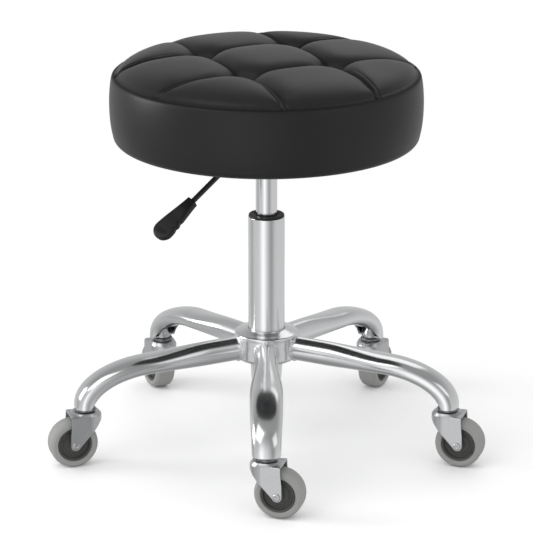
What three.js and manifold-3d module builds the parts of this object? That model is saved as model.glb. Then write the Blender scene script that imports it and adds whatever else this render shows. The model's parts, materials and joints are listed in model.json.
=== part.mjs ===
// Adjustable swivel stool: a round upholstered seat on a gas spring, over a five-arm base on casters.
// Millimetres, +Z up, floor at z = 0, one base arm pointing along -Y.
import * as THREE from 'three';
import { mergeVertices } from 'three/addons/utils/BufferGeometryUtils.js';
import Module from 'manifold-3d';

const wasm = await Module();
wasm.setup();

// ---- driving dimensions ---------------------------------------------------------------------
const GAP = 0.3; // between parts that touch
const AXIS_Y = 12; // column axis, so that the footprint of the five casters is centred on the origin

const SEAT_RADIUS = 203;
const SEAM_RADIUS = 198.3;
const SEAM_Z = 506;
const SEAT_BOTTOM = 419.6;
const EDGE_DROP = 2; // padded edge hangs this far below the hem
const SEAT_CROWN = 533;
const COVER_SKIN = 2;
const BOARD_RADIUS = 180;
const BOARD_THICKNESS = 12;
const DUST_COVER_THICKNESS = 0.6;

const PLATE_SIZE = 160;
const PLATE_THICKNESS = 3;
const PLATE_TOP = 418.4;
const DISH_FLOOR = 397;
const DISH_RADIUS = 36;
const SCREW_OFFSET = 62;
const SCREW_RADIUS = 3;

const LEVER_AZIMUTH = 210; // degrees from +X, where the lever leaves the column
const LEVER_SLOPE = 37.5; // degrees below level, outside the plate
const LEVER_Z = 409;
const LEVER_RADIUS = 3.5;
const LEVER_PIVOT = 25; // from the column axis
const LEVER_BEND = 28; // where the rod starts to turn down
const GRIP_START = 91; // along the sloping rod, from its bend
const GRIP_LENGTH = 67;
const GRIP_THICKNESS = 12.5;
const GRIP_TWIST = 25; // degrees about the rod

const CYLINDER_RADIUS = 14;
const CYLINDER_BOTTOM = 225;
const CYLINDER_TOP = 398;
const ROD_RADIUS = 5;
const PISTON_Z = 296;
const COLUMN_TOP = 315.2;
const COLUMN_BOTTOM = 91;
const COLUMN_RADIUS = 23.9;
const COLUMN_FOOT_RADIUS = 20;
const COLUMN_WALL = 1.6;

const HUB_RADIUS = 42.5;
const HUB_BOTTOM = 121;
const HUB_TOP = 162;

const ARM_COUNT = 5;
const ARM_TUBE_RADIUS = 16;
const ARM_WALL = 2;
const ARM_SIDES = 12;
const ARM_START_Z = 136.8;
const ARM_END_Z = 78.6;
const PIVOT_RADIUS = 248.5;

const WHEEL_RADIUS = 31.5;
const TYRE_HALF_WIDTH = 14;
const TYRE_BORE = 22.5;
const TRAIL = 17.7;
const FORK_TOP = 71;
const RACE_TOP = 74; // raised ball race round the pivot
const FORK_HALF_WIDTH = 18.6;
const FORK_SHEET = 2.3;
const FORK_BACK = 22;
const AXLE_RADIUS = 3;
const STEM_RADIUS = 5.5;
// trail direction of each caster at rest, degrees from +X, counted from the front arm clockwise
const CASTER_HEADINGS = [-15, 198, 115, 64, -18];

// ---- materials ------------------------------------------------------------------------------
const material = (color, roughness, metalness) =>
  new THREE.MeshStandardMaterial({ color, roughness, metalness });
const LEATHER = material(0x1d1d1f, 0.45, 0);
const FOAM = material(0xd9cfa8, 0.95, 0);
const WOOD = material(0xb08a5a, 0.8, 0);
const FABRIC = material(0x151515, 0.95, 0);
const BLACK_STEEL = material(0x202022, 0.5, 0.6);
const CHROME = material(0xd8dadc, 0.08, 1);
const ZINC = material(0xb9bcbe, 0.35, 1);
const BLACK_PLASTIC = material(0x161617, 0.5, 0);
const GREY_PLASTIC = material(0x4a4a48, 0.5, 0);
const RUBBER = material(0x7d7d7b, 0.7, 0);

// ---- geometry helpers -----------------------------------------------------------------------
const radians = THREE.MathUtils.degToRad;

function named(name, geometry, mat) {
  const mesh = new THREE.Mesh(geometry, mat);
  mesh.name = name;
  return mesh;
}

// Turned part about Z: profile is a list of [radius, height].
function turned(profile, segments) {
  const points = profile.map(([radius, height]) => new THREE.Vector2(radius, height));
  return new THREE.LatheGeometry(points, segments).rotateX(Math.PI / 2);
}

// Turned ring about Z: the same, and the profile closes on itself.
const ring = (profile, segments) => turned([...profile, profile[0]], segments);

// Points of an arc from one angle to another, in degrees.
function arc(centreX, centreY, radius, from, to, steps) {
  return Array.from({ length: steps + 1 }, (_, i) => {
    const angle = radians(from + ((to - from) * i) / steps);
    return [centreX + radius * Math.cos(angle), centreY + radius * Math.sin(angle)];
  });
}

function shapeOf(points) {
  return new THREE.Shape(points.map(([x, y]) => new THREE.Vector2(x, y)));
}

// A flat outline in X and Y, extruded from one height to another.
function slab(shape, bottom, top, curveSegments = 6) {
  const depth = top - bottom;
  return new THREE.ExtrudeGeometry(shape, { depth, bevelEnabled: false, curveSegments })
    .translate(0, 0, bottom);
}

function circleHole(x, y, radius) {
  return new THREE.Path().absarc(x, y, radius, 0, 2 * Math.PI, true);
}

function toSolid(geometry) {
  const bare = geometry.clone();
  bare.deleteAttribute('normal');
  bare.deleteAttribute('uv');
  const merged = mergeVertices(bare);
  const vertProperties = merged.getAttribute('position').array;
  const triVerts = new Uint32Array(merged.getIndex().array);
  return new wasm.Manifold(new wasm.Mesh({ numProp: 3, vertProperties, triVerts }));
}

function fromSolid(solid) {
  const { vertProperties, triVerts } = solid.getMesh();
  const geometry = new THREE.BufferGeometry();
  geometry.setAttribute('position', new THREE.BufferAttribute(vertProperties, 3));
  geometry.setIndex(new THREE.BufferAttribute(triVerts, 1));
  return geometry;
}

// First geometry, with the others cut away.
function cut(body, ...tools) {
  return fromSolid(tools.reduce((solid, tool) => solid.subtract(toSolid(tool)), toSolid(body)));
}

const join = (a, b) => fromSolid(toSolid(a).add(toSolid(b)));

// Skin over a list of rings of points; it wraps back to the first ring, or ends in two flat caps.
function skin(rings, { wraps }) {
  const sides = rings[0].length;
  const positions = rings.flat().flatMap((p) => [p.x, p.y, p.z]);
  const index = [];
  const bands = wraps ? rings.length : rings.length - 1;
  for (let i = 0; i < bands; i += 1) {
    for (let j = 0; j < sides; j += 1) {
      const a = i * sides + j;
      const b = i * sides + ((j + 1) % sides);
      const c = ((i + 1) % rings.length) * sides + j;
      const d = ((i + 1) % rings.length) * sides + ((j + 1) % sides);
      index.push(a, b, d, a, d, c);
    }
  }
  if (!wraps) {
    const last = (rings.length - 1) * sides;
    for (let j = 1; j < sides - 1; j += 1) {
      index.push(0, j + 1, j, last, last + j, last + j + 1);
    }
  }
  const geometry = new THREE.BufferGeometry();
  geometry.setAttribute('position', new THREE.Float32BufferAttribute(positions, 3));
  geometry.setIndex(index);
  return geometry;
}

// Ring of points square to a path in the XZ plane: halfWidth along Y, halfHeight across the path.
function crossRing(point, tangent, halfWidth, halfHeight, sides) {
  return Array.from({ length: sides }, (_, j) => {
    const angle = (2 * Math.PI * (j + 0.5)) / sides;
    const across = halfHeight * Math.sin(angle);
    return new THREE.Vector3(
      point.x - across * tangent.y,
      halfWidth * Math.cos(angle),
      point.y + across * tangent.x,
    );
  });
}

// ---- seat -----------------------------------------------------------------------------------
// Outside of the upholstery from the hem to the crown, moved inwards by an offset.
function seatOutline(offset) {
  const corner = 10;
  const cornerX = 198 - corner;
  return [
    [184, SEAT_BOTTOM + offset],
    ...arc(cornerX, SEAT_BOTTOM - EDGE_DROP + corner, corner - offset, -90, 0, 3),
    [SEAT_RADIUS - 1 - offset, 446],
    [SEAT_RADIUS - offset, 464],
    [SEAT_RADIUS - 1 - offset, 486],
    [SEAM_RADIUS - offset, SEAM_Z - 0.3 * offset],
    [188 - 0.6 * offset, 514 - offset],
    [150, 525.5 - offset],
    [80, 531.5 - offset],
    [0, SEAT_CROWN - offset],
  ];
}

function seatCover() {
  const hemRadius = 170;
  const outside = seatOutline(0);
  const inside = seatOutline(COVER_SKIN).reverse();
  const hemTop = SEAT_BOTTOM + COVER_SKIN;
  const profile = [...inside, [hemRadius, hemTop], [hemRadius, SEAT_BOTTOM], ...outside];
  return named('seat_cover', turned(profile, 32), LEATHER);
}

function seatFoam() {
  const bottom = SEAT_BOTTOM + COVER_SKIN + BOARD_THICKNESS + 2 * GAP;
  const outline = seatOutline(COVER_SKIN + GAP + 0.4).slice(4);
  return named('seat_foam', turned([[0, bottom], [190, bottom], ...outline], 32), FOAM);
}

function screwPlaces() {
  return [[1, 1], [-1, 1], [-1, -1], [1, -1]].map(([x, y]) => [x * SCREW_OFFSET, y * SCREW_OFFSET]);
}

function disc(radius, bottom, top, holeRadius) {
  const shape = shapeOf(arc(0, 0, radius, 0, 350, 35));
  shape.holes.push(...screwPlaces().map(([x, y]) => circleHole(x, y, holeRadius)));
  return slab(shape, bottom, top, 4);
}

function seatBoard() {
  const bottom = SEAT_BOTTOM + COVER_SKIN + GAP;
  return named('seat_board', disc(BOARD_RADIUS, bottom, bottom + BOARD_THICKNESS, 3.6), WOOD);
}

function dustCover() {
  const top = SEAT_BOTTOM - GAP;
  const geometry = disc(BOARD_RADIUS + 2, top - DUST_COVER_THICKNESS, top, 3.6);
  return named('dust_cover', geometry, FABRIC);
}

// ---- seat plate and lever -------------------------------------------------------------------
function squareOutline(halfSize, corner) {
  const inner = halfSize - corner;
  return shapeOf([
    ...arc(inner, -inner, corner, -90, 0, 3),
    ...arc(inner, inner, corner, 0, 90, 3),
    ...arc(-inner, inner, corner, 90, 180, 3),
    ...arc(-inner, -inner, corner, 180, 270, 3),
  ]);
}

function mountingPlate() {
  const flange = squareOutline(PLATE_SIZE / 2, 14);
  flange.holes.push(circleHole(0, 0, DISH_RADIUS - 1));
  flange.holes.push(...screwPlaces().map(([x, y]) => circleHole(x, y, SCREW_RADIUS + 0.5)));
  const flangeBottom = PLATE_TOP - PLATE_THICKNESS;
  const dish = ring([
    [CYLINDER_RADIUS + 0.4, DISH_FLOOR - PLATE_THICKNESS],
    [DISH_RADIUS - 2, DISH_FLOOR - PLATE_THICKNESS],
    [DISH_RADIUS + 1, flangeBottom],
    [DISH_RADIUS + 1, PLATE_TOP],
    [DISH_RADIUS - 2, PLATE_TOP],
    [DISH_RADIUS - 5, DISH_FLOOR],
    [CYLINDER_RADIUS + 0.4, DISH_FLOOR],
  ], 24);
  const slot = new THREE.BoxGeometry(20, 2 * LEVER_RADIUS + 1.4, 20)
    .translate(DISH_RADIUS, 0, LEVER_Z + 1.6)
    .rotateZ(radians(LEVER_AZIMUTH));
  const plate = cut(join(slab(flange, flangeBottom, PLATE_TOP, 4), dish), slot);
  return named('mounting_plate', plate, BLACK_STEEL);
}

function plateSocket() {
  const top = DISH_FLOOR - PLATE_THICKNESS - GAP;
  const bottom = 376;
  const bore = CYLINDER_RADIUS + GAP;
  return named('plate_socket', ring([[bore, bottom], [17, bottom], [19, top], [bore, top]], 24),
    BLACK_STEEL);
}

function plateScrews() {
  const headTop = PLATE_TOP - PLATE_THICKNESS - GAP;
  const tip = 432;
  const profile = [[0, headTop - 3.5], [5, headTop - 3.5], [6, headTop], [SCREW_RADIUS, headTop],
    [SCREW_RADIUS, tip], [0, tip]];
  return screwPlaces().map(([x, y], i) => {
    const screw = named(`plate_screw_${i + 1}`, turned(profile, 10), ZINC);
    screw.position.set(x, y, 0);
    return screw;
  });
}

// Points and directions along the lever rod, in the vertical plane of the lever.
function leverPath() {
  const bendRadius = 14;
  const turn = radians(LEVER_SLOPE);
  const stations = [[-5, LEVER_Z, 0], [LEVER_BEND, LEVER_Z, 0]];
  for (const share of [1 / 3, 2 / 3, 1]) {
    const angle = turn * share;
    stations.push([
      LEVER_BEND + bendRadius * Math.sin(angle),
      LEVER_Z - bendRadius * (1 - Math.cos(angle)),
      angle,
    ]);
  }
  const [x, z] = stations.at(-1);
  const run = GRIP_START + 26;
  stations.push([x + run * Math.cos(turn), z - run * Math.sin(turn), turn]);
  return stations;
}

function leverRod() {
  const rings = leverPath().map(([x, z, angle]) => {
    const tangent = new THREE.Vector2(Math.cos(angle), -Math.sin(angle));
    return crossRing(new THREE.Vector2(x, z), tangent, LEVER_RADIUS, LEVER_RADIUS, 12);
  });
  const pinHole = turned([[0, -6], [1.6, -6], [1.6, 6], [0, 6]], 12)
    .rotateX(Math.PI / 2)
    .translate(LEVER_PIVOT, 0, LEVER_Z);
  return named('lever_rod', cut(skin(rings, { wraps: false }), pinHole), BLACK_STEEL);
}

// Paddle outline along X: narrow at the rod, wide and round at its end.
function leverGrip() {
  const outline = shapeOf([
    [0, -6.5],
    [18, -8],
    [40, -12],
    ...arc(GRIP_LENGTH - 14, 0, 14, -75, 75, 5),
    [40, 12],
    [18, 8],
    [0, 6.5],
  ]);
  const bevel = 2;
  const paddle = new THREE.ExtrudeGeometry(outline, {
    depth: GRIP_THICKNESS - 2 * bevel,
    bevelThickness: bevel,
    bevelSize: bevel,
    bevelOffset: -bevel,
    bevelSegments: 1,
  }).translate(0, 0, bevel - GRIP_THICKNESS / 2);
  const boreRadius = LEVER_RADIUS + GAP;
  const bore = turned([[0, -5], [boreRadius, -5], [boreRadius, 27], [0, 27]], 12)
    .rotateZ(Math.PI / 12)
    .rotateY(Math.PI / 2);
  const [bendX, bendZ] = leverPath().at(-2);
  const slope = radians(LEVER_SLOPE);
  const grip = named('lever_grip', cut(paddle, bore), GREY_PLASTIC);
  grip.rotation.set(-radians(GRIP_TWIST), slope, 0, 'YXZ');
  grip.position.set(bendX + GRIP_START * Math.cos(slope), 0, bendZ - GRIP_START * Math.sin(slope));
  return grip;
}

function leverPin() {
  const geometry = turned([[0, -7], [1.5, -7], [1.5, 7], [0, 7]], 12).rotateX(Math.PI / 2);
  const pin = named('lever_pin', geometry, ZINC);
  pin.position.set(LEVER_PIVOT, 0, LEVER_Z);
  return pin;
}

// U-shaped bracket on the floor of the plate's dish; the rod lies between its two ears.
function leverBracket() {
  const inner = LEVER_RADIUS + GAP;
  const outer = inner + 1.8;
  const bottom = DISH_FLOOR + GAP;
  const top = LEVER_Z + 5;
  const profile = shapeOf([[-outer, bottom], [outer, bottom], [outer, top], [inner, top],
    [inner, bottom + 2], [-inner, bottom + 2], [-inner, top], [-outer, top]]);
  const body = new THREE.ExtrudeGeometry(profile, { depth: 10, bevelEnabled: false })
    .rotateX(Math.PI / 2)
    .rotateZ(Math.PI / 2)
    .translate(LEVER_PIVOT - 5, 0, 0);
  const hole = turned([[0, -9], [1.6, -9], [1.6, 9], [0, 9]], 12)
    .rotateX(Math.PI / 2)
    .translate(LEVER_PIVOT, 0, LEVER_Z);
  return named('lever_bracket', cut(body, hole), ZINC);
}

// ---- gas spring and column ------------------------------------------------------------------
function gasCylinder() {
  const cavity = CYLINDER_RADIUS - 2;
  const rodHole = ROD_RADIUS + GAP;
  const pinHole = 3.3;
  return named('gas_cylinder', ring([
    [rodHole, CYLINDER_BOTTOM],
    [CYLINDER_RADIUS - 1, CYLINDER_BOTTOM],
    [CYLINDER_RADIUS, CYLINDER_BOTTOM + 1],
    [CYLINDER_RADIUS, 378],
    [CYLINDER_RADIUS - 0.8, CYLINDER_TOP],
    [pinHole, CYLINDER_TOP],
    [pinHole, 372],
    [cavity, 372],
    [cavity, 235],
    [rodHole, 235],
  ], 24), CHROME);
}

function pistonRod() {
  const bottom = COLUMN_BOTTOM + 0.4;
  return named('piston_rod', turned([
    [0, bottom],
    [ROD_RADIUS, bottom],
    [ROD_RADIUS, 93],
    [3.7, 93],
    [3.7, 95],
    [ROD_RADIUS, 95],
    [ROD_RADIUS, 308],
    [0, 308],
  ], 16), CHROME);
}

const piston = () => named('piston', ring([
  [ROD_RADIUS + GAP, PISTON_Z],
  [CYLINDER_RADIUS - 2.4, PISTON_Z],
  [CYLINDER_RADIUS - 2.4, PISTON_Z + 10],
  [ROD_RADIUS + GAP, PISTON_Z + 10],
], 16), ZINC);

const releasePin = () => named('release_pin', turned([
  [0, 374], [2.5, 374], [2.5, 403.5], [1.2, 405.1], [0, 405.1],
], 10), ZINC);

function guideBush() {
  const bore = CYLINDER_RADIUS + 0.15;
  const outer = COLUMN_RADIUS - COLUMN_WALL - GAP;
  return named('guide_bush', ring([
    [bore, 255],
    [outer, 255],
    [outer, COLUMN_TOP + GAP],
    [COLUMN_RADIUS - 0.4, COLUMN_TOP + GAP],
    [COLUMN_RADIUS - 0.9, COLUMN_TOP + 2.6],
    [bore, COLUMN_TOP + 2.6],
  ], 24), BLACK_PLASTIC);
}

// Straight tube above the hub, tapered through it, with a floor that holds the rod.
function columnTube() {
  const foot = COLUMN_FOOT_RADIUS;
  const wall = COLUMN_WALL;
  return named('column_tube', ring([
    [foot - wall, COLUMN_BOTTOM],
    [foot, COLUMN_BOTTOM],
    [COLUMN_RADIUS, HUB_TOP + 3],
    [COLUMN_RADIUS, COLUMN_TOP],
    [COLUMN_RADIUS - wall, COLUMN_TOP],
    [COLUMN_RADIUS - wall, HUB_TOP + 3],
    [foot - wall + 0.3, 98],
    [ROD_RADIUS + GAP, 98],
    [ROD_RADIUS + GAP, 95.2],
    [foot - wall, 95.2],
  ], 24), CHROME);
}

const rodRing = (name, bottom, top, bore, outer, mat) =>
  named(name, ring([[bore, bottom], [outer, bottom], [outer, top], [bore, top]], 16), mat);

// ---- five-arm base --------------------------------------------------------------------------
// Radius of the column's outside at a height inside the hub.
function columnRadiusAt(z) {
  const share = (z - COLUMN_BOTTOM) / (HUB_TOP + 3 - COLUMN_BOTTOM);
  return COLUMN_FOOT_RADIUS + (COLUMN_RADIUS - COLUMN_FOOT_RADIUS) * share;
}

function baseHub() {
  const boreAt = (z) => columnRadiusAt(z) + GAP;
  return named('base_hub', ring([
    [boreAt(HUB_BOTTOM), HUB_BOTTOM],
    [39.5, HUB_BOTTOM],
    [41.5, HUB_BOTTOM + 3],
    [41.5, 153],
    [HUB_RADIUS, 154.5],
    [HUB_RADIUS, 156.5],
    [boreAt(HUB_TOP) + 1, HUB_TOP],
    [boreAt(HUB_TOP), HUB_TOP],
  ], 30), CHROME);
}

const smooth = THREE.MathUtils.smoothstep;
const mix = THREE.MathUtils.lerp;

// Stations along an arm, in its vertical plane: straight from the hub, then bent down to the caster.
function armStations() {
  const bendStart = new THREE.Vector2(165, 128.4);
  const straight = new THREE.LineCurve(new THREE.Vector2(HUB_RADIUS + GAP, ARM_START_Z), bendStart);
  const bend = new THREE.CubicBezierCurve(
    bendStart,
    new THREE.Vector2(210, 125.3),
    new THREE.Vector2(PIVOT_RADIUS, 105),
    new THREE.Vector2(PIVOT_RADIUS, 80),
  );
  const station = (curve, t, flat, end) => ({
    point: curve.getPoint(t),
    tangent: curve.getTangent(t),
    halfWidth: mix(mix(ARM_TUBE_RADIUS, 21.2, flat), 18.5, end),
    halfHeight: mix(mix(ARM_TUBE_RADIUS, 12.2, flat), 14, end),
  });
  const stations = [0, 0.4, 0.7, 1].map((t) => station(straight, t, smooth(t, 0.3, 1), 0));
  for (const t of [0.2, 0.4, 0.6, 0.8, 1]) {
    stations.push(station(bend, t, 1, smooth(t, 0.2, 1)));
  }
  const last = stations.at(-1);
  stations.push({ ...last, point: new THREE.Vector2(PIVOT_RADIUS, ARM_END_Z) });
  return stations;
}

// Rings of the arm's outside, moved inwards; the first follows the hub's round wall.
function armRings(inset) {
  const rings = armStations().map(({ point, tangent, halfWidth, halfHeight }) =>
    crossRing(point, tangent, halfWidth - inset, halfHeight - inset, ARM_SIDES));
  const reach = HUB_RADIUS + GAP;
  rings[0].forEach((p) => {
    p.x = Math.sqrt(reach * reach - p.y * p.y);
  });
  return rings;
}

// Block that opens the arm's inner side, obliquely, from its underside to its end.
function armMouth() {
  return slab(shapeOf([[216, 40], [278.4, 40], [216, 112.5]]), -30, 30).rotateX(Math.PI / 2);
}

function arm(number) {
  const rings = [...armRings(0), ...armRings(ARM_WALL).reverse()];
  return named(`arm_${number}`, cut(skin(rings, { wraps: true }), armMouth()), CHROME);
}

// Plug in the arm's end: a plate of the arm's inner outline, open like it, under a tapered tube.
function casterSocket(number) {
  const outline = armRings(ARM_WALL + 0.7).at(-1).map((p) => [p.x - PIVOT_RADIUS, p.y]).reverse();
  const bore = STEM_RADIUS + GAP;
  const plateTop = ARM_END_Z + 2.4;
  const plate = shapeOf(outline);
  plate.holes.push(circleHole(0, 0, bore));
  const coneTop = plateTop + 11;
  const cone = ring([[bore, ARM_END_Z], [10.8, ARM_END_Z], [7.2, coneTop], [bore, coneTop]], 12);
  const opened = cut(slab(plate, ARM_END_Z, plateTop), armMouth().translate(-PIVOT_RADIUS, 0, 0));
  const socket = named(`caster_socket_${number}`, join(opened, cone), ZINC);
  socket.position.x = PIVOT_RADIUS;
  return socket;
}

// ---- caster: origin on the floor under its pivot, trail along +X -----------------------------
function casterStem(number) {
  return named(`caster_stem_${number}`, turned([
    [0, 67],
    [7.5, 67],
    [7.5, RACE_TOP - FORK_SHEET - GAP],
    [STEM_RADIUS, RACE_TOP - FORK_SHEET - GAP],
    [STEM_RADIUS, RACE_TOP + GAP],
    [14, RACE_TOP + GAP],
    [14, ARM_END_Z - GAP],
    [STEM_RADIUS, ARM_END_Z - GAP],
    [STEM_RADIUS, 94],
    [0, 94],
  ], 12), BLACK_STEEL);
}

// Plan of the fork, moved inwards: round about the pivot, straight and open toward the axle.
function forkPlan(inset, back) {
  const radius = FORK_HALF_WIDTH - inset;
  return shapeOf([[back, -radius], [back, radius], ...arc(-2.4, 0, radius, 90, 270, 8)]);
}

// Side of the fork: top plate, short skirt at the pivot, two legs tapering to the axle.
function forkSide() {
  const skirtBottom = 62;
  const side = shapeOf([
    [-22, RACE_TOP + 1],
    [-22, skirtBottom],
    [-19, skirtBottom],
    ...arc(TRAIL, WHEEL_RADIUS, 6.3, 205, 360, 5),
    [FORK_BACK, 62],
    [FORK_BACK, RACE_TOP + 1],
  ]);
  return slab(side, -25, 25).rotateX(Math.PI / 2);
}

function axleHole(radius) {
  return turned([[0, -30], [radius, -30], [radius, 30], [0, 30]], 10)
    .rotateX(Math.PI / 2)
    .translate(TRAIL, 0, WHEEL_RADIUS);
}

function casterFork(number) {
  const race = turned([[0, 65], [18.3, 65], [18.3, FORK_TOP], [16.5, RACE_TOP], [0, RACE_TOP]], 16);
  const raceFloor = RACE_TOP - FORK_SHEET;
  const hollow = turned([[0, 60], [15, 60], [15, raceFloor], [0, raceFloor]], 16);
  const outside = join(slab(forkPlan(0, 26), 20, FORK_TOP), race);
  const inside = slab(forkPlan(FORK_SHEET, 30), 15, FORK_TOP - FORK_SHEET);
  const stemHole = turned([[0, 60], [STEM_RADIUS + GAP, 60], [STEM_RADIUS + GAP, 79], [0, 79]], 12);
  const channel = cut(outside, inside, hollow, stemHole, axleHole(AXLE_RADIUS + GAP));
  const fork = fromSolid(toSolid(channel).intersect(toSolid(forkSide())));
  return named(`caster_fork_${number}`, fork, ZINC);
}

function casterAxle(number) {
  const head = FORK_HALF_WIDTH + GAP;
  const axle = named(`caster_axle_${number}`, turned([
    [0, -head - 1.4],
    [5, -head - 1.4],
    [5, -head],
    [AXLE_RADIUS, -head],
    [AXLE_RADIUS, head],
    [5, head],
    [5, head + 1.4],
    [0, head + 1.4],
  ], 10).rotateX(Math.PI / 2), ZINC);
  axle.position.set(TRAIL, 0, WHEEL_RADIUS);
  return axle;
}

function wheelCore(number) {
  const rim = TYRE_BORE - 2 * GAP;
  const bore = AXLE_RADIUS + GAP;
  const half = [[bore, 15.5], [8.5, 15.5], [8.5, 5], [18.5, 5], [rim, 12.5]];
  const mirrored = half.map(([radius, height]) => [radius, -height]);
  const core = named(`wheel_core_${number}`, ring([...mirrored, ...half.reverse()], 16)
    .rotateX(Math.PI / 2), GREY_PLASTIC);
  core.position.set(TRAIL, 0, WHEEL_RADIUS);
  return core;
}

// Tyre with a facet square on the floor.
function wheelTyre(number) {
  const segments = 20;
  const scale = 1 / Math.cos(Math.PI / segments);
  const half = [[31.5, 10.5], [28, 14], [TYRE_BORE, 13]].map(([r, h]) => [r * scale, h]);
  const mirrored = half.map(([radius, height]) => [radius, -height]).reverse();
  const tyre = named(`wheel_tyre_${number}`, ring([...mirrored, ...half], segments)
    .rotateZ(Math.PI / segments)
    .rotateX(Math.PI / 2), RUBBER);
  tyre.position.set(TRAIL, 0, WHEEL_RADIUS);
  return tyre;
}

function caster(number, heading, armAngle) {
  const group = new THREE.Group();
  group.add(casterStem(number), casterFork(number), casterAxle(number));
  group.add(wheelCore(number), wheelTyre(number));
  group.position.x = PIVOT_RADIUS;
  group.rotation.z = radians(heading - armAngle);
  return group;
}

// ---- assembly -------------------------------------------------------------------------------
const stool = new THREE.Group();
stool.position.y = AXIS_Y;

stool.add(seatCover(), seatFoam(), seatBoard(), dustCover());
stool.add(mountingPlate(), plateSocket(), ...plateScrews());

const lever = new THREE.Group();
lever.rotation.z = radians(LEVER_AZIMUTH);
lever.add(leverRod(), leverGrip(), leverPin(), leverBracket());
stool.add(lever);

stool.add(gasCylinder(), pistonRod(), piston(), releasePin(), guideBush(), columnTube());
stool.add(rodRing('rod_clip', 93.4, 94.8, 4, 9, ZINC));
stool.add(rodRing('thrust_bearing', 98.3, 104.3, ROD_RADIUS + GAP, 15.5, ZINC));
stool.add(rodRing('bumper', 104.7, 118, ROD_RADIUS + GAP, 13, RUBBER));
stool.add(baseHub());

CASTER_HEADINGS.forEach((heading, i) => {
  const number = i + 1;
  const armAngle = -90 - (360 / ARM_COUNT) * i;
  const spoke = new THREE.Group();
  spoke.rotation.z = radians(armAngle);
  spoke.add(arm(number), casterSocket(number), caster(number, heading, armAngle));
  stool.add(spoke);
});

export default stool;
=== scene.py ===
"""Swivel stool: a tufted round seat on a gas spring, over a chromed five-arm base on casters."""
import json
import math

import bmesh
import bpy
import numpy as np
from bpy.props import FloatProperty, FloatVectorProperty, PointerProperty
from bpy.types import Operator, Panel, PropertyGroup
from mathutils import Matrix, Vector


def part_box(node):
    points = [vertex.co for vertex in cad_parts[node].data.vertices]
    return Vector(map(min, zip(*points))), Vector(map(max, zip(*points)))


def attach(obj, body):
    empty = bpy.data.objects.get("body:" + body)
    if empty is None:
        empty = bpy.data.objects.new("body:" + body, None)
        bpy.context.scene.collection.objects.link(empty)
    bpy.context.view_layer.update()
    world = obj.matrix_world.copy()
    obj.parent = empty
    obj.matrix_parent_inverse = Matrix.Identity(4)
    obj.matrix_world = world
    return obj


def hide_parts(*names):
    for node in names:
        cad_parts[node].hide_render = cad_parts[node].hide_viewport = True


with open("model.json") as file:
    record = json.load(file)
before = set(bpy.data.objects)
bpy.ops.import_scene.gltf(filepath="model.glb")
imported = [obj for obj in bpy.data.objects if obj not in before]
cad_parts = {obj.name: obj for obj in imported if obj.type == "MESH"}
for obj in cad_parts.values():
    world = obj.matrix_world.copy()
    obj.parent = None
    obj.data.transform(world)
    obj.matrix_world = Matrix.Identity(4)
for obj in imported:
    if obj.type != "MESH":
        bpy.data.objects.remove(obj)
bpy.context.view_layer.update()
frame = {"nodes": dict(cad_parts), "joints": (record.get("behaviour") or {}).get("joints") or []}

bl_info = {
    "name": "Swivel stool",
    "version": (1, 0, 0),
    "blender": (4, 5, 0),
    "location": "3D View > Sidebar > Stool",
    "description": "Builds the upholstery, chrome, casters and studio of a swivel stool round its frame",
    "category": "Object",
}

# ---- places worked out from the frame -------------------------------------------------------------
MM = 0.001
UP = np.array([0.0, 0.0, 1.0])
CASTERS = range(1, 6)


def middle(node):
    """Middle of a node's box."""
    low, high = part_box(node)
    return np.array((low + high) / 2)


def top_of(node):
    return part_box(node)[1].z


def bottom_of(node):
    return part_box(node)[0].z


def span(node):
    """Lowest and highest level of a node."""
    return bottom_of(node), top_of(node)


def radius_of(node):
    low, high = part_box(node)
    return (high.x - low.x) / 2


AXIS = middle("column_tube") * (1, 1, 0)
JOINTS = {joint["name"]: joint for joint in frame["joints"]}


def unit(vector):
    return vector / np.linalg.norm(vector)


class Place:
    """A local frame: forward, across and up from an origin."""

    def __init__(self, origin, forward):
        self.origin = np.array(origin, float)
        self.forward = unit(np.array(forward, float) * (1, 1, 0))
        self.across = np.cross(UP, self.forward)

    def at(self, x, y, z):
        """Points x forward, y across and z up from the origin, for arrays of one shape."""
        x, y, z = np.broadcast_arrays(x, y, z)
        return (self.origin + x[..., None] * self.forward + y[..., None] * self.across
                + z[..., None] * UP)


def spoke(number):
    """Local frame of an arm: on the floor under the column, forward to the caster's pivot."""
    pivot = np.array(JOINTS[f"caster_{number}_swivel"]["pos_m"])
    return Place(AXIS, pivot - AXIS)


PIVOT_REACH = np.linalg.norm((np.array(JOINTS["caster_1_swivel"]["pos_m"]) - AXIS)[:2])
TRAIL = np.linalg.norm(np.subtract(JOINTS["wheel_1_spin"]["pos_m"],
                                   JOINTS["caster_1_swivel"]["pos_m"])[:2])
WHEEL_RADIUS = JOINTS["wheel_1_spin"]["pos_m"][2]
RACE_RISE = 0.003
RACE_TOP = top_of("caster_fork_1")
FORK_TOP = RACE_TOP - RACE_RISE


def caster_place(number):
    """Local frame of a caster: on the floor under its pivot, forward along its trail."""
    pivot = np.array(JOINTS[f"caster_{number}_swivel"]["pos_m"]) * (1, 1, 0)
    wheel = np.array(JOINTS[f"wheel_{number}_spin"]["pos_m"])
    return Place(pivot, wheel - pivot)


LEVER_PIVOT = np.array(JOINTS["lever_tilt"]["pos_m"])
LEVER = Place(AXIS, LEVER_PIVOT - AXIS)


# ---- surfaces -------------------------------------------------------------------------------------
def smooth(value, start, end):
    """0 before start, 1 after end, and an even S-curve between them."""
    share = np.clip((value - start) / (end - start), 0, 1)
    return share * share * (3 - 2 * share)


def mix(a, b, share):
    return a + (b - a) * share


def bump_at(value, centre, width):
    """Bell curve: 1 at the centre, and about a third of that one width away."""
    return np.exp(-((value - centre) / width) ** 2)


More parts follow.
